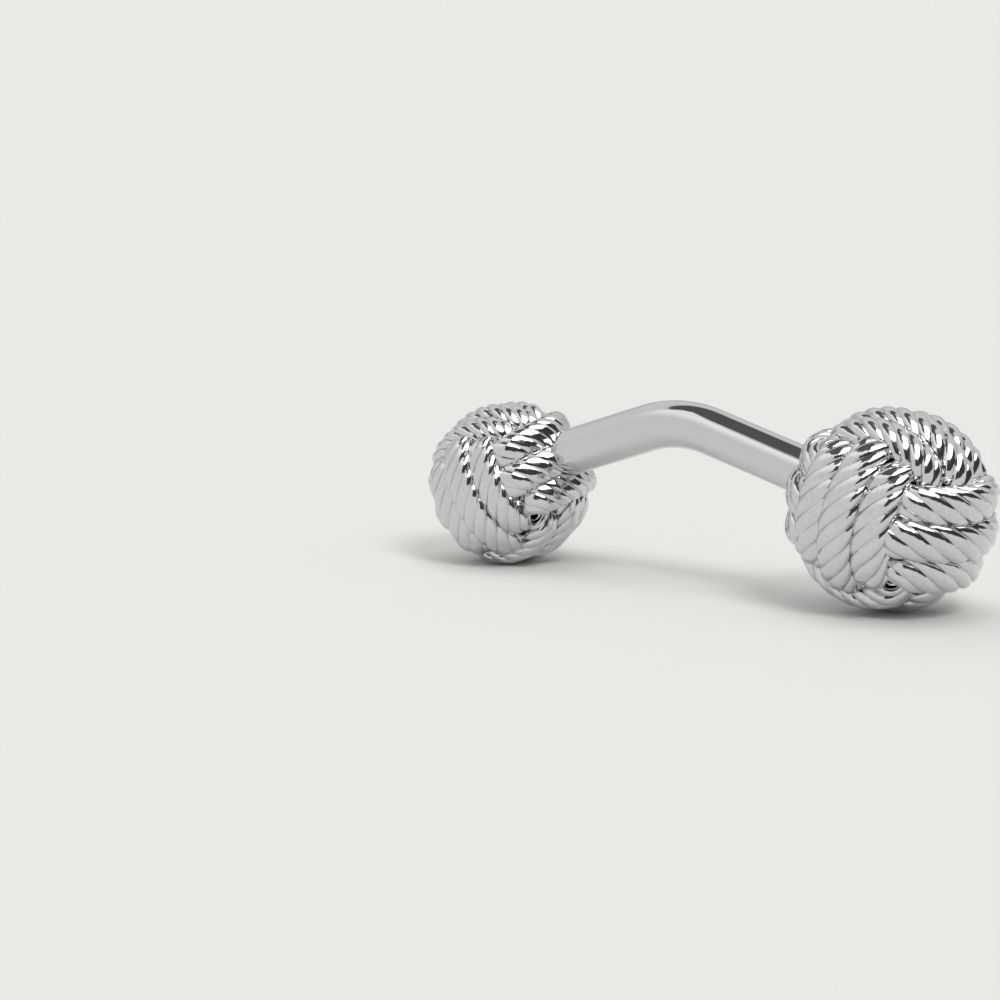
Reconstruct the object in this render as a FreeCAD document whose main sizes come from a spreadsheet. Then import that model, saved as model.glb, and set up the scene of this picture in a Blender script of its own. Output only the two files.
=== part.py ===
import FreeCAD, Part
import os
import Sketcher

# A cufflink: two rope knots of different size, joined by a bent round bar.
# X runs level from the small knot to the large one, Z is up, and both knots stand on Z = 0.
# Each knot is a solid core ball under eighteen lengths of rope, three to each of its six sides.

# Driving sizes in millimetres.
SIZES = {
    "large_knot_dia": 10.5,
    "small_knot_dia": 8.74,
    "knot_spacing": 25.0,
    "bar_dia": 2.5,
    "bend_radius": 7.6,
    "small_bar_rise": 0.58,
    "large_end_lift": 0.3,
    "large_bar_lift": 0.3,
    "small_bar_lift": 0.3,
    "rope_gap": 0.03,
    "bar_clearance": 0.02,
    "socket_end_gap": 0.05,
}

# Driving angles in degrees. A leg angle is the slope of the bar where it enters that knot.
ANGLES = {
    "large_leg_angle": 14.6,
    "small_leg_angle": 18.6,
    "large_pitch_angle": 14.6,
    "small_pitch_angle": 26.0,
    "large_roll_angle": 0.0,
    "small_roll_angle": 11.0,
    "middle_turn_angle": 44.0,
    "side_turn_angle": 38.0,
    "middle_dive_angle": 44.0,
    "side_dive_angle": 28.0,
}

# A rope's thickness as a share of its knot's, and the turn it makes to go down under its
# neighbour as a share of its own thickness.
SHARES = {
    "rope_share": 0.167,
    "dive_share": 0.57,
}

KNOTS = ("large", "small")
KINDS = ("middle", "side")

# The sides whose ropes stand out from the ball by a lift of their own: a knot is a little longer
# along the bar than across it.
LIFTED_SIDES = {"large": ("end", "bar"), "small": ("bar",)}


def fill_sheet(doc, name, cells):
    """Make a sheet with one named cell to a row, and recompute it."""
    sheet = doc.addObject("Spreadsheet::Sheet", name)
    for row, (alias, content) in enumerate(cells.items(), start=1):
        sheet.set(f"A{row}", alias)
        sheet.set(f"B{row}", str(content))
        sheet.setAlias(f"B{row}", alias)
    doc.recompute()
    return sheet


def worked_cells():
    """Sizes that follow from the driving ones, as formulas."""
    cells = {}
    for knot in KNOTS:
        knot_dia = f"Sizes.{knot}_knot_dia"
        rope_dia = f"{knot}_rope_dia"
        lay = f"{knot}_middle_lay_radius"
        cells[rope_dia] = f"={knot_dia} * Sizes.rope_share"
        cells[f"{knot}_rope_radius"] = f"={rope_dia} / 2"
        cells[lay] = f"=({knot_dia} - {rope_dia}) / 2"
        cells[f"{knot}_lay_step"] = f"=2 * asin(({rope_dia} + Sizes.rope_gap) / (2 * {lay}))"
        cells[f"{knot}_side_lay_radius"] = f"={lay} * cos({knot}_lay_step)"
        cells[f"{knot}_rope_offset"] = f"={lay} * sin({knot}_lay_step)"
        cells[f"{knot}_dive_radius"] = f"={rope_dia} * Sizes.dive_share"
        cells[f"{knot}_core_radius"] = f"={knot_dia} / 2 - {rope_dia} - Sizes.rope_gap"
        cells[f"{knot}_seat_radius"] = f"={knot}_core_radius + Sizes.rope_gap / 2"
        cells[f"{knot}_cope_radius"] = f"={knot}_rope_radius + Sizes.rope_gap"
        lean = f"cos(Sizes.{knot}_roll_angle * 1 deg)"
        cells[f"{knot}_height"] = f"={lay} * {lean} + {knot}_rope_radius"
    # The length of the whole part is centred on X = 0.
    lift = "Sizes.large_end_lift * cos(Sizes.large_pitch_angle * 1 deg)"
    shift = f"((Sizes.small_knot_dia - Sizes.large_knot_dia) / 4 - {lift} / 2)"
    cells["large_x"] = f"=Sizes.knot_spacing / 2 + {shift}"
    cells["small_x"] = f"={shift} - Sizes.knot_spacing / 2"
    # The bar starts beside the small knot's centre and ends at the large knot's centre.
    rise = "Sizes.small_bar_rise"
    slope = "(Sizes.small_leg_angle * 1 deg)"
    cells["bar_start_x"] = f"=small_x - {rise} * sin{slope}"
    cells["bar_start_z"] = f"=small_height + {rise} * cos{slope}"
    run_x = "(large_x - bar_start_x)"
    run_z = "(large_height - bar_start_z)"
    cells["bar_end_along"] = f"={run_x} * cos{slope} + {run_z} * sin{slope}"
    cells["bar_end_below"] = f"={run_x} * sin{slope} - {run_z} * cos{slope}"
    cells["bend_angle"] = "=Sizes.small_leg_angle + Sizes.large_leg_angle"
    cells["socket_radius"] = "=Sizes.bar_dia / 2 + Sizes.bar_clearance"
    return cells


doc = FreeCAD.newDocument("cufflink")
sizes = fill_sheet(doc, "Sizes", {**SIZES, **ANGLES, **SHARES})
worked = fill_sheet(doc, "Worked", worked_cells())

X_AXIS = FreeCAD.Vector(1, 0, 0)
Y_AXIS = FreeCAD.Vector(0, 1, 0)
Z_AXIS = FreeCAD.Vector(0, 0, 1)
DIAGONAL = FreeCAD.Vector(1, 1, 1)


def value(alias):
    """The number in a named cell of either sheet."""
    sheet = worked if alias in worked_cells() else sizes
    cell = sheet.get(alias)
    return float(getattr(cell, "Value", cell))


def turn(axis, degrees):
    return FreeCAD.Placement(FreeCAD.Vector(), FreeCAD.Rotation(axis, degrees))


def origin_sketch(body, plane, name):
    """A sketch on one of the body's own origin planes."""
    sketch = body.newObject("Sketcher::SketchObject", name)
    support = [part for part in body.Origin.OriginFeatures if part.Role == plane][0]
    sketch.AttachmentSupport = (support, [""])
    sketch.MapMode = "FlatFace"
    return sketch


def bind(sketch, constraint, name, expression):
    """Add a named constraint and tie it to the sheets."""
    index = sketch.addConstraint(constraint)
    sketch.renameConstraint(index, name)
    sketch.setExpression(f"Constraints.{name}", expression)


def arc(centre, radius, first, last):
    """An arc in the sketch plane, between two directions in degrees."""
    circle = Part.Circle(centre, Z_AXIS, radius)
    rad = FreeCAD.Units.Quantity("1 deg").getValueAs("rad").Value
    return Part.ArcOfCircle(circle, first * rad, last * rad)


def sweep(body, section, path, edge_count):
    """Sweep the section along every edge of the path."""
    pipe = body.newObject("PartDesign::AdditivePipe", body.Name + "_sweep")
    pipe.Profile = (section, [""])
    pipe.Spine = (path, [f"Edge{number}" for number in range(1, edge_count + 1)])
    body.Tip = pipe
    doc.recompute()
    return pipe


def rope_path(body, knot, kind):
    """One rope's line: over the side of the knot on a round, then down at both ends."""
    lay = value(f"{knot}_{kind}_lay_radius")
    dive = value(f"{knot}_dive_radius")
    reach = value(f"{kind}_turn_angle")
    drop = value(f"{kind}_dive_angle")
    path = origin_sketch(body, "XY_Plane", f"{body.Name}_path")
    over = path.addGeometry(arc(FreeCAD.Vector(), lay, -reach, reach))
    centre = FreeCAD.Rotation(Z_AXIS, reach).multVec(X_AXIS) * (lay - dive)
    down_after = path.addGeometry(arc(centre, dive, reach, reach + drop))
    centre = FreeCAD.Rotation(Z_AXIS, -reach).multVec(X_AXIS) * (lay - dive)
    down_before = path.addGeometry(arc(centre, dive, -reach - drop, -reach))
    path.addConstraint(Sketcher.Constraint("Coincident", over, 3, -1, 1))
    path.addConstraint(Sketcher.Constraint("Tangent", over, 2, down_after, 1))
    path.addConstraint(Sketcher.Constraint("Tangent", over, 1, down_before, 2))
    path.addConstraint(Sketcher.Constraint("Vertical", over, 1, over, 2))
    path.addConstraint(Sketcher.Constraint("Equal", down_after, down_before))
    radius = Sketcher.Constraint("Radius", over, lay)
    bind(path, radius, "lay_radius", f"Worked.{knot}_{kind}_lay_radius")
    radius = Sketcher.Constraint("Radius", down_after, dive)
    bind(path, radius, "dive_radius", f"Worked.{knot}_dive_radius")
    span = Sketcher.Constraint("Angle", over, FreeCAD.Units.Quantity(f"{2 * reach} deg"))
    bind(path, span, "over_angle", f"2 * Sizes.{kind}_turn_angle * 1 deg")
    for geometry, name in ((down_after, "after_angle"), (down_before, "before_angle")):
        span = Sketcher.Constraint("Angle", geometry, FreeCAD.Units.Quantity(f"{drop} deg"))
        bind(path, span, name, f"Sizes.{kind}_dive_angle * 1 deg")
    return path


def rope_form(knot, kind, lifted_side=None):
    """A plain length of rope before its ends are coped, standing at its own row of the lay."""
    group = f"{knot}_{lifted_side}" if lifted_side else knot
    body = doc.addObject("PartDesign::Body", f"{group}_{kind}_rope_form")
    path = rope_path(body, knot, kind)
    lay = value(f"{knot}_{kind}_lay_radius")
    radius = value(f"{knot}_rope_radius")
    section = origin_sketch(body, "XZ_Plane", f"{body.Name}_section")
    ring = section.addGeometry(Part.Circle(X_AXIS * lay, Z_AXIS, radius))
    section.addConstraint(Sketcher.Constraint("PointOnObject", ring, 3, -1))
    place = Sketcher.Constraint("DistanceX", -1, 1, ring, 3, lay)
    bind(section, place, "lay_radius", f"Worked.{knot}_{kind}_lay_radius")
    size = Sketcher.Constraint("Radius", ring, radius)
    bind(section, size, "rope_radius", f"Worked.{knot}_rope_radius")
    doc.recompute()
    sweep(body, section, path, 3)
    if kind == "side":
        body.setExpression("Placement.Base.z", f"Worked.{knot}_rope_offset")
    if lifted_side:
        body.setExpression("Placement.Base.x", f"Sizes.{knot}_{lifted_side}_lift")
    return body


def cope_tool(knot):
    """What a rope's ends are fitted to: the edge ropes of the next sides, and the core."""
    edge_rope = doc.addObject("Part::Torus", f"{knot}_edge_rope_tool")
    edge_rope.setExpression("Radius1", f"Worked.{knot}_side_lay_radius")
    edge_rope.setExpression("Radius2", f"Worked.{knot}_cope_radius")
    edge_rope.Placement = turn(Y_AXIS, 90)
    edge_rope.setExpression("Placement.Base.x", f"Worked.{knot}_rope_offset")
    seat = doc.addObject("Part::Sphere", f"{knot}_seat_tool")
    seat.setExpression("Radius", f"Worked.{knot}_seat_radius")
    tool = doc.addObject("Part::Compound", f"{knot}_cope_tool")
    tool.Links = [edge_rope, seat]
    doc.recompute()
    return tool


def knot_place(knot):
    """Where a knot stands: its end side faces away from the bar, its top side up."""
    centre = FreeCAD.Vector(value(f"{knot}_x"), 0, value(f"{knot}_height"))
    outward = turn(Z_AXIS, 0 if knot == "large" else 180)
    pitch = value(f"{knot}_pitch_angle")
    tilt = turn(Y_AXIS, pitch if knot == "large" else -pitch)
    roll = turn(X_AXIS, value(f"{knot}_roll_angle"))
    return FreeCAD.Placement(centre, FreeCAD.Rotation()) * tilt * roll * outward


def socket_place(knot):
    """The bar's socket in a knot, from its blind end out along the bar."""
    if knot == "small":
        end = FreeCAD.Vector(value("bar_start_x"), 0, value("bar_start_z"))
        heading = FreeCAD.Rotation(Y_AXIS, 90 - value("small_leg_angle"))
    else:
        end = knot_place(knot).Base
        heading = FreeCAD.Rotation(Y_AXIS, value("large_leg_angle") - 90)
    bottom = end - heading.multVec(Z_AXIS) * value("socket_end_gap")
    return FreeCAD.Placement(bottom, heading)


def socket_drill(knot, piece, piece_place):
    """The socket's cutter, as it lies beside a piece before that piece is put in place."""
    drill = doc.addObject("Part::Cylinder", f"{piece}_drill")
    drill.setExpression("Radius", "Worked.socket_radius")
    drill.setExpression("Height", f"Sizes.{knot}_knot_dia")
    drill.Placement = piece_place.inverse() * socket_place(knot)
    return drill


def cut(name, base, tool):
    piece = doc.addObject("Part::Cut", name)
    piece.Base = base
    piece.Tool = tool
    return piece


def rope_piece(knot, name, form, tool, place, drilled):
    """One rope of a knot, coped at both ends, and drilled where the bar passes it."""
    if drilled:
        coped = cut(f"{name}_coped", form, tool)
        piece = cut(name, coped, socket_drill(knot, name, place))
    else:
        piece = cut(name, form, tool)
    piece.Label = name
    piece.Placement = place
    return piece


# Each side of a knot, with the turns that carry a rope from the end side to it.
HALF = turn(Z_AXIS, 180)
SIDES = {
    "end": turn(Z_AXIS, 0),
    "bar": HALF,
    "left": turn(DIAGONAL, 120),
    "right": turn(DIAGONAL, 120) * HALF,
    "top": turn(DIAGONAL, 240),
    "bottom": turn(DIAGONAL, 240) * HALF,
}

# The three rows of a side: which form each row uses, and the half turn that carries it across.
ROWS = (("side", 0), ("middle", 0), ("side", 180))


def knot_core(knot):
    """The ball that the ropes lie on, with a blind socket for the bar."""
    ball = doc.addObject("Part::Sphere", f"{knot}_core_ball")
    ball.setExpression("Radius", f"Worked.{knot}_core_radius")
    place = FreeCAD.Placement(knot_place(knot).Base, FreeCAD.Rotation())
    core = cut(f"{knot}_core", ball, socket_drill(knot, f"{knot}_core", place))
    core.Label = f"{knot}_core"
    core.Placement = place
    return core


def knot_ropes(knot):
    """The eighteen ropes of a knot, each side's rows numbered across it."""
    level_forms = {kind: rope_form(knot, kind) for kind in KINDS}
    tool = cope_tool(knot)
    pieces = []
    for side, side_turn in SIDES.items():
        forms = level_forms
        if side in LIFTED_SIDES[knot]:
            forms = {kind: rope_form(knot, kind, side) for kind in KINDS}
        for row, (kind, half_turn) in enumerate(ROWS, start=1):
            place = knot_place(knot) * side_turn * turn(X_AXIS, half_turn)
            name = f"{knot}_{side}_rope_{row}"
            pieces.append(rope_piece(knot, name, forms[kind], tool, place, side == "bar"))
    return pieces


def bent_bar():
    """The round bar: two straight legs and one bend, both ends let into the cores."""
    body = doc.addObject("PartDesign::Body", "bent_bar")
    along = value("bar_end_along")
    below = value("bar_end_below")
    bend = value("bend_angle")
    radius = value("bend_radius")
    path = origin_sketch(body, "XY_Plane", "bar_path")
    finish = FreeCAD.Vector(along, -below, 0)
    heading = FreeCAD.Rotation(Z_AXIS, -bend).multVec(X_AXIS)
    corner = X_AXIS * (along + below * heading.x / heading.y)
    setback = radius * (1 - heading.x) / -heading.y
    first = corner - X_AXIS * setback
    second = corner + heading * setback
    start_leg = path.addGeometry(Part.LineSegment(FreeCAD.Vector(), first))
    crest = FreeCAD.Rotation(X_AXIS, Y_AXIS).Angle
    upward = FreeCAD.Units.Quantity(f"{crest} rad").getValueAs("deg").Value
    turn_arc = path.addGeometry(arc(first - Y_AXIS * radius, radius, upward - bend, upward))
    end_leg = path.addGeometry(Part.LineSegment(second, finish))
    path.addConstraint(Sketcher.Constraint("Coincident", start_leg, 1, -1, 1))
    path.addConstraint(Sketcher.Constraint("Horizontal", start_leg))
    path.addConstraint(Sketcher.Constraint("Tangent", start_leg, 2, turn_arc, 2))
    path.addConstraint(Sketcher.Constraint("Tangent", turn_arc, 1, end_leg, 1))
    bind(path, Sketcher.Constraint("Radius", turn_arc, radius), "bend_radius", "Sizes.bend_radius")
    span = Sketcher.Constraint("Angle", turn_arc, FreeCAD.Units.Quantity(f"{bend} deg"))
    bind(path, span, "bend_angle", "Worked.bend_angle * 1 deg")
    place = Sketcher.Constraint("DistanceX", -1, 1, end_leg, 2, along)
    bind(path, place, "end_along", "Worked.bar_end_along")
    place = Sketcher.Constraint("DistanceY", end_leg, 2, -1, 1, below)
    bind(path, place, "end_below", "Worked.bar_end_below")
    section = origin_sketch(body, "YZ_Plane", "bar_section")
    ring = section.addGeometry(Part.Circle(FreeCAD.Vector(), Z_AXIS, value("bar_dia") / 2))
    section.addConstraint(Sketcher.Constraint("Coincident", ring, 3, -1, 1))
    bind(section, Sketcher.Constraint("Diameter", ring, value("bar_dia")), "bar_dia", "Sizes.bar_dia")
    doc.recompute()
    sweep(body, section, path, 3)
    start = FreeCAD.Vector(value("bar_start_x"), 0, value("bar_start_z"))
    rise = turn(Y_AXIS, -value("small_leg_angle"))
    body.Placement = FreeCAD.Placement(start, FreeCAD.Rotation()) * rise * turn(X_AXIS, 90)
    return body


pieces = [bent_bar()]
for knot in KNOTS:
    pieces.append(knot_core(knot))
    pieces.extend(knot_ropes(knot))
doc.recompute()

for item in doc.Objects:
    if "Invalid" in item.State or "Error" in item.State:
        raise RuntimeError(f"{item.Name} did not recompute: {item.State}")
for piece in pieces:
    if piece.Shape.isNull() or not piece.Shape.isValid() or not piece.Shape.Solids:
        raise RuntimeError(f"{piece.Label} is not a sound solid")

os.makedirs("parts", exist_ok=True)
for piece in pieces:
    piece.Shape.exportStep(f"parts/{piece.Label}.step")
    print(piece.Label, len(piece.Shape.Solids), round(piece.Shape.Volume, 3))
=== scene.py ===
# %% [markdown]
# A cufflink with two rope knots on a bent bar, dressed for the camera.
# The imported model arrives as a fixed frame in metres, and every piece made here rides on its
# one body.

# %% The frame
import math

import bpy
from mathutils import Matrix, Vector


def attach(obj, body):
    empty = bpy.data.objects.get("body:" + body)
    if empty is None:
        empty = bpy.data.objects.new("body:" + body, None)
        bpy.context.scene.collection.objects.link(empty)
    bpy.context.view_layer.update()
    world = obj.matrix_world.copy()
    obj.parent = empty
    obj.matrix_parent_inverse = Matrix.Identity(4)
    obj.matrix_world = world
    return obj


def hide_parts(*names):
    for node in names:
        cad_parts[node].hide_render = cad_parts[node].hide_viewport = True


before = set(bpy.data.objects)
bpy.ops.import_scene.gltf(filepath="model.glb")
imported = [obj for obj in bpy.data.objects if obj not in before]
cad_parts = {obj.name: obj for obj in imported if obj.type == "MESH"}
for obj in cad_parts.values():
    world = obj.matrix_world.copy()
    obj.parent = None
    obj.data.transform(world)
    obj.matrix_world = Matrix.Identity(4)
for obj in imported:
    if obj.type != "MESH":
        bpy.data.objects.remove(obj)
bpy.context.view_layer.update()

MM = 0.001
print("nodes in the frame:", len(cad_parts))

# %% [markdown]
# The photograph was taken from a little above the table, with the large knot nearer to the lens.
# A long lens at a quarter of a metre gives the same slight widening of the nearer knot. The camera
# stands on the line of sight, moved sideways and up until the part falls where the photograph has it.

# %% The camera
CAMERA_AZIMUTH = math.radians(39.56)
CAMERA_ELEVATION = math.radians(8.5)
CAMERA_DISTANCE = 259.91 * MM
CAMERA_SIDE = -10.642 * MM
CAMERA_UP = 4.544 * MM
SENSOR_WIDTH = 36.0
FOCAL_WIDTHS = 4.972
NEAREST_SEEN = 10 * MM
FARTHEST_SEEN = 20

turn_to_camera = (Matrix.Rotation(CAMERA_AZIMUTH, 3, "Z")
                  @ Matrix.Rotation(math.pi / 2 - CAMERA_ELEVATION, 3, "X"))
camera_data = bpy.data.cameras.new("photo_camera")
camera_data.sensor_width = SENSOR_WIDTH
camera_data.lens = FOCAL_WIDTHS * SENSOR_WIDTH
camera_data.clip_start = NEAREST_SEEN
camera_data.clip_end = FARTHEST_SEEN
camera = bpy.data.objects.new("photo_camera", camera_data)
camera.location = turn_to_camera @ Vector((CAMERA_SIDE, CAMERA_UP, CAMERA_DISTANCE))
camera.rotation_euler = turn_to_camera.to_euler()
bpy.context.scene.collection.objects.link(camera)
bpy.context.scene.camera = camera
bpy.context.scene.view_settings.view_transform = "Standard"
print("lens in millimetres:", round(camera_data.lens, 1))

# %% [markdown]
# Node trees for geometry and for shading are put together the same way: add a node, set its inputs,
# join sockets. A few small helpers do that and give back the socket that the next step needs, which
# keeps the later cells short.

# %% Node helpers
def add_node(tree, kind, inputs=None, **settings):
    """A new node with its settings, and its inputs given as values or as sockets to join."""
    node = tree.nodes.new(kind)
    for name, setting in settings.items():
        setattr(node, name, setting)
    for key, given in (inputs or {}).items():
        if isinstance(given, bpy.types.NodeSocket):
            tree.links.new(given, node.inputs[key])
        else:
            node.inputs[key].default_value = given
    return node


def add_math(tree, operation, *numbers):
    """The result of one sum, as a socket. It serves trees for geometry and for shading."""
    return add_node(tree, "ShaderNodeMath", dict(enumerate(numbers)), operation=operation).outputs[0]


def add_vector(tree, operation, *vectors, **others):
    """The result of one sum on vectors, as a socket."""
    inputs = {**dict(enumerate(vectors)), **others}
    node = add_node(tree, "ShaderNodeVectorMath", inputs, operation=operation)
    return node.outputs["Value" if operation in ("LENGTH", "DOT_PRODUCT") else "Vector"]


def add_range(tree, number, given, wanted, **settings):
    """A number carried from one range to another, as a socket. A range is a start and an end."""
    inputs = {"Value": number, "From Min": given[0], "From Max": given[1],
              "To Min": wanted[0], "To Max": wanted[1]}
    return add_node(tree, "ShaderNodeMapRange", inputs, **settings).outputs["Result"]


def add_noise(tree, place, scale, detail):
    """A soft random pattern, as a socket. The scale is in patches to a metre."""
    inputs = {"Vector": place, "Scale": scale, "Detail": detail}
    return add_node(tree, "ShaderNodeTexNoise", inputs).outputs["Fac"]


def add_mix(tree, kind, share, first, second):
    """Two numbers or two colours mixed by a share, as a socket."""
    inputs = {"Factor": share, "A": first, "B": second}
    return add_node(tree, "ShaderNodeMix", inputs, data_type=kind).outputs["Result"]


print("helpers ready")

# %% [markdown]
# The plating is a pale white metal with a high polish. Real plating isn't even: the polish drifts a
# little from place to place, fine hairlines run over it, and below them lies the uneven skin of the
# casting. A picture of scratches could show this, but noise on the piece's own coordinates keeps its
# size on every piece and from every side. The hairlines are noise that is stretched one way.

# %% The metals
DRIFT = {"scale": 900, "detail": 3}
DRIFT_NOISE = (0.3, 0.7)
HAIRS = {"scale": 2200, "detail": 2}
HAIR_LEAN = (0.4, 0.9, 0.2)
HAIR_STRETCH = (1, 14, 14)
HAIR_STRENGTH = 0.02
HAIR_DEPTH = 0.01 * MM
SKIN = {"scale": 1400, "detail": 2}
ROPE_COLOUR = (0.68, 0.68, 0.69)
BAR_COLOUR = (0.645, 0.645, 0.655)
# The cores' near-black colour is painted shade for the deep openings in the weave.
CORE_SHADE_COLOUR = (0.05, 0.046, 0.04)


def metal(name, colour, roughness, drift, unevenness):
    """A polished metal whose roughness drifts over the piece, with fine hairlines on a cast skin."""
    material = bpy.data.materials.new(name)
    material.use_nodes = True
    tree = material.node_tree
    place = add_node(tree, "ShaderNodeTexCoord").outputs["Object"]
    polish = add_range(tree, add_noise(tree, place, **DRIFT), DRIFT_NOISE,
                       (roughness - drift, roughness + drift))
    stretch = add_node(tree, "ShaderNodeMapping",
                       {"Vector": place, "Rotation": HAIR_LEAN, "Scale": HAIR_STRETCH})
    hairs = add_noise(tree, stretch.outputs["Vector"], **HAIRS)
    lined = add_node(tree, "ShaderNodeBump",
                     {"Height": hairs, "Strength": HAIR_STRENGTH, "Distance": HAIR_DEPTH})
    cast = add_node(tree, "ShaderNodeBump",
                    {"Height": add_noise(tree, place, **SKIN), "Strength": 1, "Distance": unevenness,
                     "Normal": lined.outputs["Normal"]})
    shader = tree.nodes["Principled BSDF"]
    shader.inputs["Base Color"].default_value = (*colour, 1)
    shader.inputs["Metallic"].default_value = 1
    tree.links.new(polish, shader.inputs["Roughness"])
    tree.links.new(cast.outputs["Normal"], shader.inputs["Normal"])
    return material


rope_plate = metal("rope_plate", ROPE_COLOUR, roughness=0.09, drift=0.02, unevenness=0.045 * MM)
bar_plate = metal("bar_plate", BAR_COLOUR, roughness=0.08, drift=0.02, unevenness=0.002 * MM)
core_painted_shade = metal("core_painted_shade", CORE_SHADE_COLOUR, roughness=0.5, drift=0.1, unevenness=0.02 * MM)
print("metals:", rope_plate.name, bar_plate.name, core_painted_shade.name)

# %% [markdown]
# The floor of each groove on a rope gets painted shade: a darker colour where two wires meet, broken
# up in places by noise, and a faint haze of random darker tone lies over the rest. The rope mesh carries
# its grooves as a named attribute, 0 on the crest of a wire and 1 in the groove, so that the painted shade
# follows the twist.

# %% The painted shade in the grooves
# These colours and noises paint shade into the floor of each groove, broken up in places; the haze is
# random darker tone over the rest.
GROOVE_SHADE_AND_HAZE_COLOUR = (0.42, 0.42, 0.41)
GROOVE_SHADE_SHARPNESS = 8.0
SHADE_BREAKUP = {"scale": 700, "detail": 2}
SHADE_BREAKUP_NOISE = (0.35, 0.65)
SHADE_KEPT = (0.2, 1.0)
HAZE = {"scale": 4500, "detail": 3}
HAZE_NOISE = (0.4, 0.7)
HAZE_SHARE = (0.0, 0.22)


def paint_groove_shade(material, attribute):
    """Paint shade into the grooves as a darker colour, broken up in places, with a random haze over the
    rest, by the piece's own attribute.
    """
    tree = material.node_tree
    groove = add_node(tree, "ShaderNodeAttribute", attribute_name=attribute).outputs["Fac"]
    place = add_node(tree, "ShaderNodeTexCoord").outputs["Object"]
    left = add_range(tree, add_noise(tree, place, **SHADE_BREAKUP), SHADE_BREAKUP_NOISE, SHADE_KEPT)
    shade_in_grooves = add_math(tree, "MULTIPLY", add_math(tree, "POWER", groove, GROOVE_SHADE_SHARPNESS), left)
    haze = add_range(tree, add_noise(tree, place, **HAZE), HAZE_NOISE, HAZE_SHARE)
    shade_and_haze = add_math(tree, "MAXIMUM", shade_in_grooves, haze)
    colour = add_mix(tree, "RGBA", shade_and_haze, (*ROPE_COLOUR, 1), (*GROOVE_SHADE_AND_HAZE_COLOUR, 1))
    tree.links.new(colour, tree.nodes["Principled BSDF"].inputs["Base Color"])


paint_groove_shade(rope_plate, "groove")
print("nodes in the rope's metal:", len(rope_plate.node_tree.nodes))

# %% [markdown]
# The ropes and the bar both follow a path, so Geometry Nodes make them. Their trees begin alike, with a
# path and named inputs, and end alike: no instances are left, and the metal is on. Between them, a value
# that a later step needs is kept on the points under a name.

# %% Parts of a tree
def new_tree(name, inputs, result):
    """A node tree for a path, with named inputs and one result. Gives the tree and its inputs."""
    tree = bpy.data.node_groups.new(name, "GeometryNodeTree")
    tree.interface.new_socket("Path", in_out="INPUT", socket_type="NodeSocketGeometry")
    for label, kind in inputs:
        tree.interface.new_socket(label, in_out="INPUT", socket_type=f"NodeSocket{kind}")
    tree.interface.new_socket(result, in_out="OUTPUT", socket_type="NodeSocketGeometry")
    return tree, tree.nodes.new("NodeGroupInput").outputs


def keep(tree, geometry, name, value, kind="FLOAT"):
    """The geometry with a value kept on its points under a name."""
    inputs = {"Geometry": geometry, "Name": name, "Value": value}
    node = add_node(tree, "GeometryNodeStoreNamedAttribute", inputs, data_type=kind, domain="POINT")
    return node.outputs["Geometry"]


def kept(tree, name, kind="FLOAT"):
    """A value that was kept under a name."""
    node = add_node(tree, "GeometryNodeInputNamedAttribute", {"Name": name}, data_type=kind)
    return node.outputs["Attribute"]


def shade(tree, mesh, smooth, domain, where=True):
    """The mesh with smooth or crisp shading on its faces or edges."""
    inputs = {0: mesh, "Selection": where, "Shade Smooth": smooth}
    return add_node(tree, "GeometryNodeSetShadeSmooth", inputs, domain=domain).outputs[0]


def end_tree(tree, mesh, metal_given, result):
    """Make the mesh real, put its metal on, and let it out under its name."""
    real = add_node(tree, "GeometryNodeRealizeInstances", {0: mesh})
    clad = add_node(tree, "GeometryNodeSetMaterial",
                    {"Geometry": real.outputs[0], "Material": metal_given})
    add_node(tree, "NodeGroupOutput", {result: clad.outputs["Geometry"]})


print("tree helpers ready")

# %% [markdown]
# A rope here is a few round wires laid together with a right-hand twist. It could be separate helices,
# but only the outside shows, so one tube is enough: its section has a lobe for each wire, and the section
# turns as it travels. The turn is a tilt that grows with the length from the rope's middle, so that the
# wires of a longer and a shorter rope meet at the middle of a side. Near its ends, where it goes under the
# next rope, the rope narrows.

# %% The twisted line
def twisted_line(tree, given):
    """The path in even steps with the twist in its tilt. A point keeps its place and its width."""
    path = add_node(tree, "GeometryNodeResampleCurve", {"Curve": given["Path"], "Count": given["Steps"]})
    here = add_node(tree, "GeometryNodeInputPosition").outputs["Position"]
    line = keep(tree, path.outputs["Curve"], "line", here, "FLOAT_VECTOR")
    part_way = add_node(tree, "GeometryNodeSplineParameter").outputs["Factor"]
    to_go = add_math(tree, "SUBTRACT", 1.0, part_way)
    narrowings = [add_range(tree, from_end, (0.0, given["End share"]), (given[end], 1.0),
                            interpolation_type="SMOOTHSTEP")
                  for from_end, end in ((part_way, "Start width"), (to_go, "Finish width"))]
    line = keep(tree, line, "width", add_math(tree, "MULTIPLY", *narrowings))
    level = add_node(tree, "GeometryNodeSetCurveNormal", {"Curve": line}, mode="Z_UP")
    gone = add_node(tree, "GeometryNodeSplineParameter").outputs["Length"]
    whole = add_node(tree, "GeometryNodeSplineLength").outputs["Length"]
    from_middle = add_math(tree, "SUBTRACT", gone, add_math(tree, "MULTIPLY", whole, 0.5))
    turns = add_math(tree, "DIVIDE", from_middle, given["Lay length"])
    twist = add_math(tree, "MULTIPLY_ADD", turns, 2 * math.pi, given["Middle turn"])
    twisted = add_node(tree, "GeometryNodeSetCurveTilt", {"Curve": level.outputs["Curve"], "Tilt": twist})
    return twisted.outputs["Curve"]


print("the twist turns with the length")

# %% [markdown]
# The wires are worn and pressed, so a lobe keeps the rope's radius over most of its width and falls away
# close to the groove. A power of the distance from the crest does this: the higher it is, the fuller the
# wire.

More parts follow.
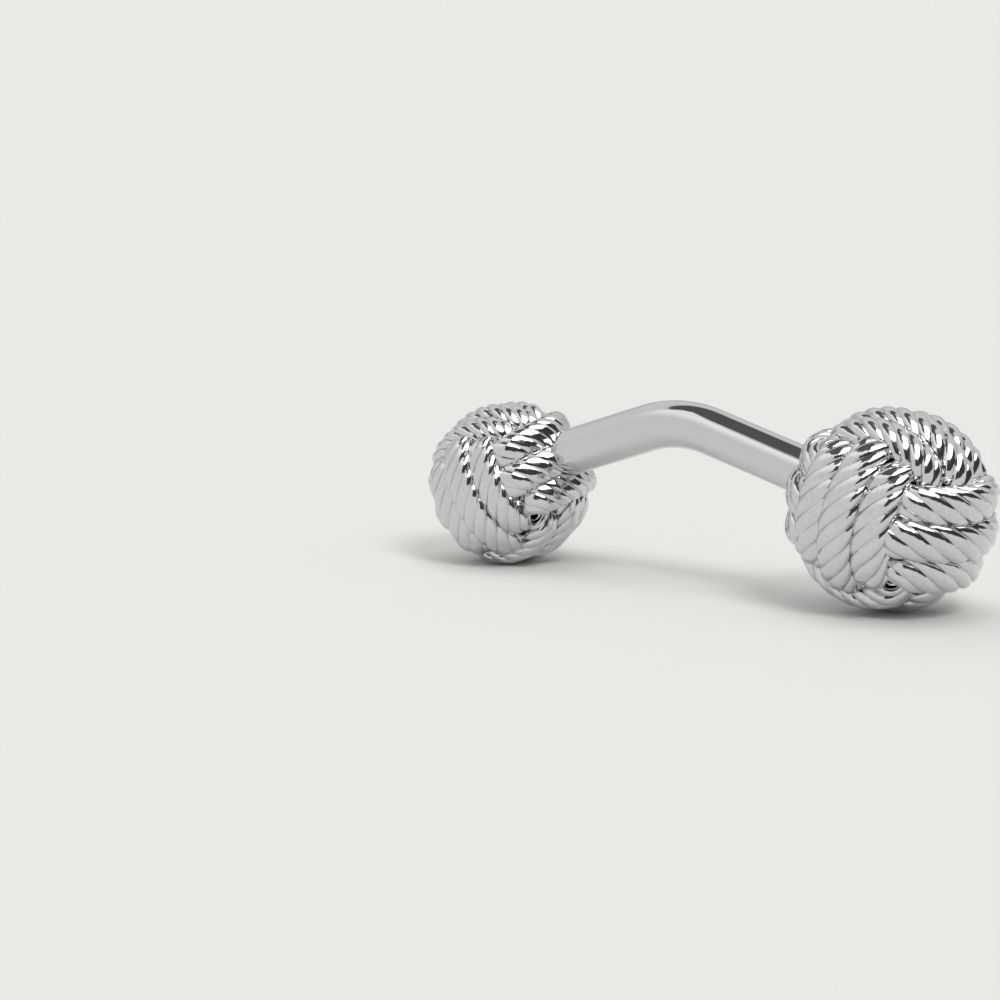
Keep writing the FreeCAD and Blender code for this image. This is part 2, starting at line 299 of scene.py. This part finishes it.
# %% The section
def lobed_section(tree, given):
    """The rope's outline, with a lobe for each wire. A point keeps how deep in a groove it lies."""
    count = add_math(tree, "MULTIPLY", given["Wires"], given["Points per wire"])
    ring = add_node(tree, "GeometryNodeCurvePrimitiveCircle", {"Resolution": count, "Radius": 1.0},
                    mode="RADIUS")
    round_part = add_node(tree, "GeometryNodeSplineParameter").outputs["Factor"]
    within = add_math(tree, "FRACT", add_math(tree, "MULTIPLY", round_part, given["Wires"]))
    off_crest = add_math(tree, "ABSOLUTE", add_math(tree, "SUBTRACT", within, 0.5))
    groove = add_math(tree, "MULTIPLY", off_crest, 2.0)
    fall = add_math(tree, "MULTIPLY", add_math(tree, "POWER", groove, given["Fullness"]),
                    given["Groove depth"])
    reach = add_math(tree, "MULTIPLY", given["Rope radius"], add_math(tree, "SUBTRACT", 1.0, fall))
    here = add_node(tree, "GeometryNodeInputPosition").outputs["Position"]
    lobes = add_node(tree, "GeometryNodeSetPosition",
                     {"Geometry": ring.outputs["Curve"],
                      "Position": add_vector(tree, "SCALE", here, Scale=reach)})
    return keep(tree, lobes.outputs["Geometry"], "groove", groove)


print("the section has a lobe for each wire")

# %% [markdown]
# In the mould the ropes were pressed together, so a rope is squarer than a round and wider along the ball
# than it is high. After the sweep each point is moved away from the rope's line: a superellipse gives the
# squareness, and a stretch along the tree's Z, which lies along the ball, gives the width.

# %% The press
def pressed(tree, given, rope):
    """The swept rope, squared, spread along the ball and narrowed at its ends."""
    here = add_node(tree, "GeometryNodeInputPosition").outputs["Position"]
    line = kept(tree, "line", "FLOAT_VECTOR")
    offset = add_vector(tree, "SUBTRACT", here, line)
    height = add_node(tree, "ShaderNodeSeparateXYZ", {"Vector": offset}).outputs["Z"]
    sideways = add_math(tree, "ABSOLUTE",
                        add_math(tree, "DIVIDE", height, add_vector(tree, "LENGTH", offset)))
    rest = add_math(tree, "SUBTRACT", 1.0, add_math(tree, "MULTIPLY", sideways, sideways))
    outward = add_math(tree, "SQRT", rest)
    power = given["Squareness"]
    both = add_math(tree, "ADD", add_math(tree, "POWER", sideways, power),
                    add_math(tree, "POWER", outward, power))
    fuller = add_math(tree, "POWER", both, add_math(tree, "DIVIDE", -1.0, power))
    squared = add_vector(tree, "SCALE", offset,
                         Scale=add_math(tree, "MULTIPLY", fuller, kept(tree, "width")))
    spread = add_node(tree, "ShaderNodeCombineXYZ", {"X": 1.0, "Y": 1.0, "Z": given["Spread"]})
    widened = add_vector(tree, "MULTIPLY", squared, spread.outputs["Vector"])
    seat = add_vector(tree, "ADD", line, widened)
    moved = add_node(tree, "GeometryNodeSetPosition", {"Geometry": rope, "Position": seat})
    mesh = moved.outputs["Geometry"]
    for name in ("line", "width"):
        bare = add_node(tree, "GeometryNodeRemoveAttribute", {"Geometry": mesh, "Name": name})
        mesh = bare.outputs["Geometry"]
    return mesh


print("the press squares a rope and spreads it")

# %% [markdown]
# The rope tree joins these steps: the line, the section swept along it, and the press. The wires are
# shaded smooth, but the floor of a groove stays a crisp edge, because two wires meet there.

# %% The rope tree
ROPE_INPUTS = (
    ("Rope radius", "Float"), ("Groove depth", "Float"), ("Fullness", "Float"), ("Lay length", "Float"),
    ("Middle turn", "Float"), ("Squareness", "Float"), ("Spread", "Float"), ("Start width", "Float"),
    ("Finish width", "Float"), ("End share", "Float"), ("Wires", "Int"), ("Points per wire", "Int"),
    ("Steps", "Int"), ("Metal", "Material"),
)
GROOVE_FLOOR = 0.999

rope_lay, rope_given = new_tree("rope_lay", ROPE_INPUTS, "Rope")
swept_rope = add_node(rope_lay, "GeometryNodeCurveToMesh",
                      {"Curve": twisted_line(rope_lay, rope_given),
                       "Profile Curve": lobed_section(rope_lay, rope_given), "Fill Caps": True})
soft_rope = shade(rope_lay, pressed(rope_lay, rope_given, swept_rope.outputs["Mesh"]), True, "FACE")
in_groove = add_math(rope_lay, "GREATER_THAN", kept(rope_lay, "groove"), GROOVE_FLOOR)
end_tree(rope_lay, shade(rope_lay, soft_rope, False, "EDGE", in_groove), rope_given["Metal"], "Rope")
print("rope tree nodes:", len(rope_lay.nodes))

# %% [markdown]
# A tree is run by a modifier on an object that holds the path. The result is taken as a plain mesh,
# the modifier goes, and the place of the piece is put into its mesh, so that the finished object
# stands at the origin as the frame's own pieces do.

# %% From path to piece
def socket_id(tree, name):
    """The identifier that a modifier knows an input by."""
    return next(item.identifier for item in tree.interface.items_tree
                if item.name == name and item.in_out == "INPUT")


def path_object(points):
    """A curve object with one straight-run spline through the points."""
    data = bpy.data.curves.new("path", "CURVE")
    data.dimensions = "3D"
    spline = data.splines.new("POLY")
    spline.points.add(len(points) - 1)
    for point, place in zip(spline.points, points):
        point.co = (*place, 1)
    holder = bpy.data.objects.new("path", data)
    bpy.context.scene.collection.objects.link(holder)
    return holder


def grow(name, tree, points, inputs, place, node):
    """Run a tree on a path and keep the result as a finished piece that stands for a CAD node."""
    holder = path_object(points)
    modifier = holder.modifiers.new("grow", "NODES")
    modifier.node_group = tree
    for key, setting in inputs.items():
        modifier[socket_id(tree, key)] = setting
    evaluated = holder.evaluated_get(bpy.context.evaluated_depsgraph_get())
    mesh = bpy.data.meshes.new_from_object(evaluated)
    holder.modifiers.remove(modifier)
    bpy.data.objects.remove(holder)
    mesh.name = name
    mesh.transform(place)
    piece = bpy.data.objects.new(name, mesh)
    bpy.context.scene.collection.objects.link(piece)
    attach(piece, "root")
    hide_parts(node)
    return piece


print("inputs of the rope tree:", [item.name for item in rope_lay.interface.items_tree])

# %% [markdown]
# Each knot has six sides, and each side three ropes that lie next to each other on the ball. A rope
# runs over its side on a round and turns down at both ends under the edge rope of the next side,
# which is what weaves the corners together. The sizes, the knots' leans and the angles over a side are
# the CAD model's own. A rope turns down further here than there, so that no end shows in the corners.
# Lengths are in millimetres and angles in degrees.

# %% The knots' sizes
ROPE_SHARE = 0.167
ROPE_GAP = 0.03
DIVE_SHARE = 0.57
KNOTS = {
    "large": {"dia": 10.5, "x": 11.915, "pitch": 14.6, "roll": 0.0, "heading": 0.0, "spread": 1.22},
    "small": {"dia": 8.74, "x": -13.085, "pitch": -26.0, "roll": 11.0, "heading": 180.0, "spread": 1.28},
}
TURN_ANGLES = {"middle": 44.0, "side": 38.0}
DIVE_ANGLES = {"middle": 62.0, "side": 46.0}

for knot in KNOTS.values():
    knot["rope"] = knot["dia"] * ROPE_SHARE
    knot["lay"] = (knot["dia"] - knot["rope"]) / 2
    knot["step"] = 2 * math.asin((knot["rope"] + ROPE_GAP) / (2 * knot["lay"]))
    knot["height"] = knot["lay"] * math.cos(math.radians(knot["roll"])) + knot["rope"] / 2
    print({key: round(number, 3) for key, number in knot.items()})

# %% [markdown]
# A rope's line is three arcs in one plane: a long one over the side, and a short one at each end that
# goes down. The middle rope's plane goes through the ball's middle, and an outer rope's lies one step to
# the side of it, where the ball is smaller round. These two lines, drawn for the end side of a knot at
# the origin, serve all its ropes.

# %% The paths of the ropes
OVER_POINTS = 64
DIVE_POINTS = 24


def round_points(centre, radius, first, last, count):
    """Points on an arc, between two directions in radians."""
    angles = [first + (last - first) * step / count for step in range(count + 1)]
    return [Vector((centre[0] + radius * math.cos(angle), centre[1] + radius * math.sin(angle), 0))
            for angle in angles]


def rope_points(knot, kind, longer):
    """A rope's line over the end side, in millimetres. It may go some degrees longer over the side."""
    lay = knot["lay"] * (1 if kind == "middle" else math.cos(knot["step"]))
    height = 0 if kind == "middle" else knot["lay"] * math.sin(knot["step"])
    dive = DIVE_SHARE * knot["rope"]
    reach = math.radians(TURN_ANGLES[kind] + longer)
    drop = math.radians(DIVE_ANGLES[kind])
    low = ((lay - dive) * math.cos(reach), -(lay - dive) * math.sin(reach))
    high = (low[0], -low[1])
    points = round_points(low, dive, -reach - drop, -reach, DIVE_POINTS)
    points += round_points((0, 0), lay, -reach, reach, OVER_POINTS)[1:]
    points += round_points(high, dive, reach, reach + drop, DIVE_POINTS)[1:]
    return [point + Vector((0, 0, height)) for point in points]


print("points on a middle path:", len(rope_points(KNOTS["large"], "middle", 0.0)))

# %% [markdown]
# Turns about the ball's middle carry the two lines round to all six sides. A third of a turn about the
# cube's diagonal takes one pair of sides to the next, and half a turn takes a side to the one across
# from it, so every rope passes under its neighbour in the same order.

# %% The sides of a knot
def turn(axis, degrees):
    """A turn about an axis through the origin."""
    return Matrix.Rotation(math.radians(degrees), 4, axis)


DIAGONAL = Vector((1, 1, 1))
SIDES = {
    "end": turn("Z", 0),
    "bar": turn("Z", 180),
    "left": turn(DIAGONAL, 120),
    "right": turn(DIAGONAL, 120) @ turn("Z", 180),
    "top": turn(DIAGONAL, 240),
    "bottom": turn(DIAGONAL, 240) @ turn("Z", 180),
}
ROWS = (("side", 0), ("middle", 0), ("side", 180))


def knot_place(knot):
    """Where a knot stands and how it leans, in millimetres."""
    centre = Matrix.Translation((knot["x"], 0, knot["height"]))
    return centre @ turn("Y", knot["pitch"]) @ turn("X", knot["roll"]) @ turn("Z", knot["heading"])


print("ropes on a knot:", len(SIDES) * len(ROWS))

# %% [markdown]
# The wires lie at about 45 degrees to the rope, so a wire goes once round in about three rope
# diameters. Where a rope is pulled over the side that faces out, the twist opens and the wires look
# longer. On the small knot's bar side the wires are fewer, steeper and flatter, and the two sides that
# face front and left are polished flatter than the rest.

# %% The lay of the wires
POINTS_PER_WIRE = 10
STEPS = 130
USUAL_LAY = {"wires": 6, "lay_share": 3.1, "groove_depth": 0.14, "fullness": 2.2, "squareness": 2.3}
OWN_LAYS = {
    "large_end": {"lay_share": 4.2},
    "large_right": {"lay_share": 3.4, "groove_depth": 0.12, "squareness": 2.8},
    "small_bar": {"wires": 5, "lay_share": 2.4, "groove_depth": 0.075, "fullness": 3.6},
    "small_left": {"lay_share": 3.3, "groove_depth": 0.11, "squareness": 3.0},
}
MIDDLE_TURNS = {"large_end_rope_3": 21.0, "large_right_rope_1": 20.0}
print("sides with a lay of their own:", sorted(OWN_LAYS))

# %% [markdown]
# A knot is a little longer along the bar than across it, so the ropes of three sides stand further out
# on the ball, as they do in the CAD model. They also go longer over their side, or a gap would open at
# their ends. Ropes narrow at their ends to let the next one pass over. A few narrow more, where the
# photograph shows a small dark opening in a corner of the weave.

# %% The lift and the ends
SIDE_LIFTS = {"large_end": 0.3, "large_bar": 0.3, "small_bar": 0.3}
LIFTED_TURN = 3.5
END_SHARE = 0.16
END_WIDTHS = {"middle": 0.92, "side": 0.74}
LIFTED_END_WIDTHS = {"middle": 1.0, "side": 0.9}
OPEN_END_WIDTHS = {
    "large_end_rope_3": 0.64, "large_right_rope_1": 0.5, "large_bottom_rope_3": 0.5,
    "small_bar_rope_3": 0.64, "small_left_rope_3": 0.5, "small_bottom_rope_1": 0.5,
}
print("sides that stand out:", sorted(SIDE_LIFTS))

# %% [markdown]
# Now the ropes are laid: for each knot, side and row, the tree runs on one of the two lines, and the
# result is carried to its side of its knot.

# %% The ropes
def lay_rope(knot_name, side, row):
    """Make one rope of a knot. Rows count from 1."""
    knot = KNOTS[knot_name]
    name = f"{knot_name}_{side}_rope_{row}"
    kind, half_turn = ROWS[row - 1]
    lay = {**USUAL_LAY, **OWN_LAYS.get(f"{knot_name}_{side}", {})}
    lift = SIDE_LIFTS.get(f"{knot_name}_{side}", 0.0)
    end_width = (LIFTED_END_WIDTHS if lift else END_WIDTHS)[kind]
    inputs = {
        "Rope radius": knot["rope"] / 2,
        "Groove depth": lay["groove_depth"],
        "Fullness": lay["fullness"],
        "Lay length": lay["lay_share"] * knot["rope"],
        "Middle turn": math.radians(MIDDLE_TURNS.get(name, 0.0)),
        "Squareness": lay["squareness"],
        "Spread": knot["spread"],
        "Start width": end_width,
        "Finish width": OPEN_END_WIDTHS.get(name, end_width),
        "End share": END_SHARE,
        "Wires": lay["wires"],
        "Points per wire": POINTS_PER_WIRE,
        "Steps": STEPS,
        "Metal": rope_plate,
    }
    points = rope_points(knot, kind, LIFTED_TURN if lift else 0.0)
    outward = Matrix.Translation((lift, 0, 0))
    place = Matrix.Scale(MM, 4) @ knot_place(knot) @ SIDES[side] @ outward @ turn("X", half_turn)
    rope = grow(f"{name}_laid", rope_lay, points, inputs, place, name)
    return rope


ropes = [lay_rope(knot_name, side, row)
         for knot_name in KNOTS for side in SIDES for row in range(1, len(ROWS) + 1)]
print("ropes:", len(ropes), "points in one:", len(ropes[0].data.vertices))

# %% [markdown]
# The bar is a length of round stock with one bend, let into a ball at each end. The sweep is the same as
# a rope's without the twist and the press: a plain ring follows the line.

# %% The bar tree
BAR_INPUTS = (("Bar radius", "Float"), ("Sides", "Int"), ("Metal", "Material"))

bar_sweep, bar_given = new_tree("bar_sweep", BAR_INPUTS, "Bar")
bar_ring = add_node(bar_sweep, "GeometryNodeCurvePrimitiveCircle",
                    {"Resolution": bar_given["Sides"], "Radius": bar_given["Bar radius"]}, mode="RADIUS")
swept_bar = add_node(bar_sweep, "GeometryNodeCurveToMesh",
                     {"Curve": bar_given["Path"], "Profile Curve": bar_ring.outputs["Curve"],
                      "Fill Caps": True})
end_tree(bar_sweep, shade(bar_sweep, swept_bar.outputs["Mesh"], True, "FACE"), bar_given["Metal"], "Bar")
print("bar tree nodes:", len(bar_sweep.nodes))

# %% [markdown]
# The bar's line is straight, round, straight. Each leg leans by its own angle, and the two meet at a
# corner that the bend rounds off. The small knot sits a little low on its leg, as the photograph shows,
# so that leg starts above the knot's middle. The other ends at the middle of the large knot.

# %% The bar
BAR_DIA = 2.5
BAR_SIDES = 128
BEND_RADIUS = 7.6
SMALL_LEG_ANGLE = math.radians(18.6)
LARGE_LEG_ANGLE = math.radians(14.6)
BAR_RISE = 0.58
LEG_STEPS = 40
BEND_STEPS = 48


def bar_points():
    """The bar's line in the XZ plane, in millimetres, from the small knot to the large one."""
    up = Vector((math.cos(SMALL_LEG_ANGLE), 0, math.sin(SMALL_LEG_ANGLE)))
    down = Vector((math.cos(LARGE_LEG_ANGLE), 0, -math.sin(LARGE_LEG_ANGLE)))
    small = Vector((KNOTS["small"]["x"], 0, KNOTS["small"]["height"]))
    large = Vector((KNOTS["large"]["x"], 0, KNOTS["large"]["height"]))
    first = small + Vector((-up.z, 0, up.x)) * BAR_RISE
    gap = large - first
    bend = SMALL_LEG_ANGLE + LARGE_LEG_ANGLE
    run = (gap.x * -down.z + gap.z * down.x) / math.sin(bend)
    setback = BEND_RADIUS * math.tan(bend / 2)
    corner = first + up * run
    start = corner - up * setback
    middle = start + Vector((up.z, 0, -up.x)) * BEND_RADIUS
    points = [first + (start - first) * step / LEG_STEPS for step in range(LEG_STEPS)]
    for step in range(BEND_STEPS + 1):
        lean = math.pi / 2 + SMALL_LEG_ANGLE - bend * step / BEND_STEPS
        points.append(middle + Vector((math.cos(lean), 0, math.sin(lean))) * BEND_RADIUS)
    finish = points[-1]
    points += [finish + (large - finish) * step / LEG_STEPS for step in range(1, LEG_STEPS + 1)]
    return points


bar_inputs = {"Bar radius": BAR_DIA / 2, "Sides": BAR_SIDES, "Metal": bar_plate}
bar = grow("bent_bar_polished", bar_sweep, bar_points(), bar_inputs, Matrix.Scale(MM, 4), "bent_bar")
print("bar points:", len(bar.data.vertices))

# %% [markdown]
# The balls under the ropes only show as dark specks in the corners of the weave. They keep the CAD
# model's solids, with a duller metal whose near-black colour is painted shade for those openings.

# %% The cores
for name in ("large_core", "small_core"):
    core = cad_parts[name]
    core.data.materials.clear()
    core.data.materials.append(core_painted_shade)
print("cores keep their solids")

# %% [markdown]
# The part stands on a pale sheet that runs on past the picture's edges. Its colour alone makes the
# background pale, and it has no gloss, so that it keeps the part's soft shadow.

# %% The floor
FLOOR_COLOUR = (0.807, 0.807, 0.784)
FLOOR_HALF = 6.0
PAPER_ROUGHNESS = 0.9

floor_mesh = bpy.data.meshes.new("floor")
floor_mesh.from_pydata([(x, y, 0) for x, y in ((-1, -1), (1, -1), (1, 1), (-1, 1))], [], [(0, 1, 2, 3)])
floor_mesh.transform(Matrix.Scale(FLOOR_HALF, 4))
floor = bpy.data.objects.new("floor", floor_mesh)
bpy.context.scene.collection.objects.link(floor)
paper = bpy.data.materials.new("paper")
paper.use_nodes = True
paper_shader = paper.node_tree.nodes["Principled BSDF"]
paper_shader.inputs["Base Color"].default_value = (*FLOOR_COLOUR, 1)
paper_shader.inputs["Roughness"].default_value = PAPER_ROUGHNESS
paper_shader.inputs["Specular IOR Level"].default_value = 0.0
floor_mesh.materials.append(paper)
print("floor in metres:", 2 * FLOOR_HALF)

# %% [markdown]
# Polished metal is mostly a picture of the room. The room here is the world itself, painted by direction:
# a zone has an azimuth from the camera's, more to the right being more, and an elevation, so a reflection
# can be traced by hand. Screens and lamp objects could stand round the part instead, but zones cost
# nothing to render and never cast a shadow.

# %% Painting a room
ZONE_PARTS = ("azimuth", "elevation", "half_width", "half_height", "edge", "strength")


def zone_mask(tree, azimuth, elevation, zone):
    """1 where a direction lies in a zone, 0 outside, with a soft edge. All angles in degrees."""
    masks = []
    for angle, middle, half in ((azimuth, zone["azimuth"], zone["half_width"]),
                                (elevation, zone["elevation"], zone["half_height"])):
        offset = add_math(tree, "WRAP", add_math(tree, "SUBTRACT", angle, middle), 180.0, -180.0)
        edge = (half + zone["edge"], half - zone["edge"])
        masks.append(add_range(tree, add_math(tree, "ABSOLUTE", offset), edge, (0.0, 1.0),
                               interpolation_type="SMOOTHSTEP"))
    return add_math(tree, "MULTIPLY", *masks)


def paint_zones(tree, azimuth, elevation, base, zones):
    """The light from each direction: a base level with the zones laid over it in turn."""
    light = base
    for row in zones:
        zone = dict(zip(ZONE_PARTS, row))
        mask = zone_mask(tree, azimuth, elevation, zone)
        light = add_mix(tree, "FLOAT", mask, light, zone["strength"])
    return light


print("a zone has:", ZONE_PARTS)

# %% [markdown]
# What the metal mirrors are pale walls, a back screen with a darker foot, a large soft lamp high on the
# right, and dark between them, which draws the crisp dark edges on the wires and the dark band on the
# bar. What lights the floor is a second, plainer set of soft lights at a level at which a colour renders
# about as it is written, placed so that the shadow falls where the photograph has it. Light Path chooses
# between the two, so the lamp can look bright in the metal and doesn't burn out the floor.

# %% The room
WALL = 0.80
LAMP = 4.0
DARK = 0.11
MIRRORED_ZONES = (
    (-85, 53, 75, 14, 14.0, 1.2),         # a glow high on the left
    (-100, 90, 80, 32.5, 1.5, DARK),      # the dark roof over the left and the back
    (180, 15, 62, 38, 2.0, 0.80),         # the back screen
    (180, 9, 62, 16, 7.0, 0.60),          # its foot
    (-160, 57.25, 45, 7.75, 1.5, DARK),   # the dark corner over the screen
    (-96, 55, 16, 6.5, 1.5, 1.1),         # a light patch beside that corner
    (43, 27, 67, 19, 2.0, 0.05),          # the dark gap under the lamp
    (51, 67, 66, 23, 2.0, LAMP),
)
FILL = 0.44
LIGHTING_ZONES = (
    (0, 90, 200, 21, 10.0, 1.8),          # overhead
    (-150, 35, 45, 16, 10.0, 1.36),       # from behind on the left
    (21.5, 44, 12, 9, 6.0, 14.0),         # the key light
)

world = bpy.data.worlds.new("room")
bpy.context.scene.world = world
world.use_nodes = True
room = world.node_tree
ray = add_node(room, "ShaderNodeTexCoord").outputs["Generated"]
rightward = (math.cos(CAMERA_AZIMUTH), math.sin(CAMERA_AZIMUTH), 0)
toward = (math.sin(CAMERA_AZIMUTH), -math.cos(CAMERA_AZIMUTH), 0)
dots = [add_vector(room, "DOT_PRODUCT", ray, axis) for axis in (rightward, toward)]
azimuth = add_math(room, "DEGREES", add_math(room, "ARCTAN2", *dots))
rise = add_node(room, "ShaderNodeSeparateXYZ", {"Vector": ray}).outputs["Z"]
elevation = add_math(room, "DEGREES", add_math(room, "ARCSINE", rise))
mirrored = paint_zones(room, azimuth, elevation, WALL, MIRRORED_ZONES)
given_off = paint_zones(room, azimuth, elevation, FILL, LIGHTING_ZONES)
rays = add_node(room, "ShaderNodeLightPath").outputs
seen = add_math(room, "MAXIMUM", rays["Is Glossy Ray"], rays["Is Transmission Ray"])
seen = add_math(room, "MAXIMUM", seen, rays["Is Camera Ray"])
background = room.nodes["Background"]
background.inputs["Color"].default_value = (1, 1, 1, 1)
room.links.new(add_mix(room, "FLOAT", seen, given_off, mirrored), background.inputs["Strength"])
print("zones in the room:", len(MIRRORED_ZONES), "lights:", len(LIGHTING_ZONES))
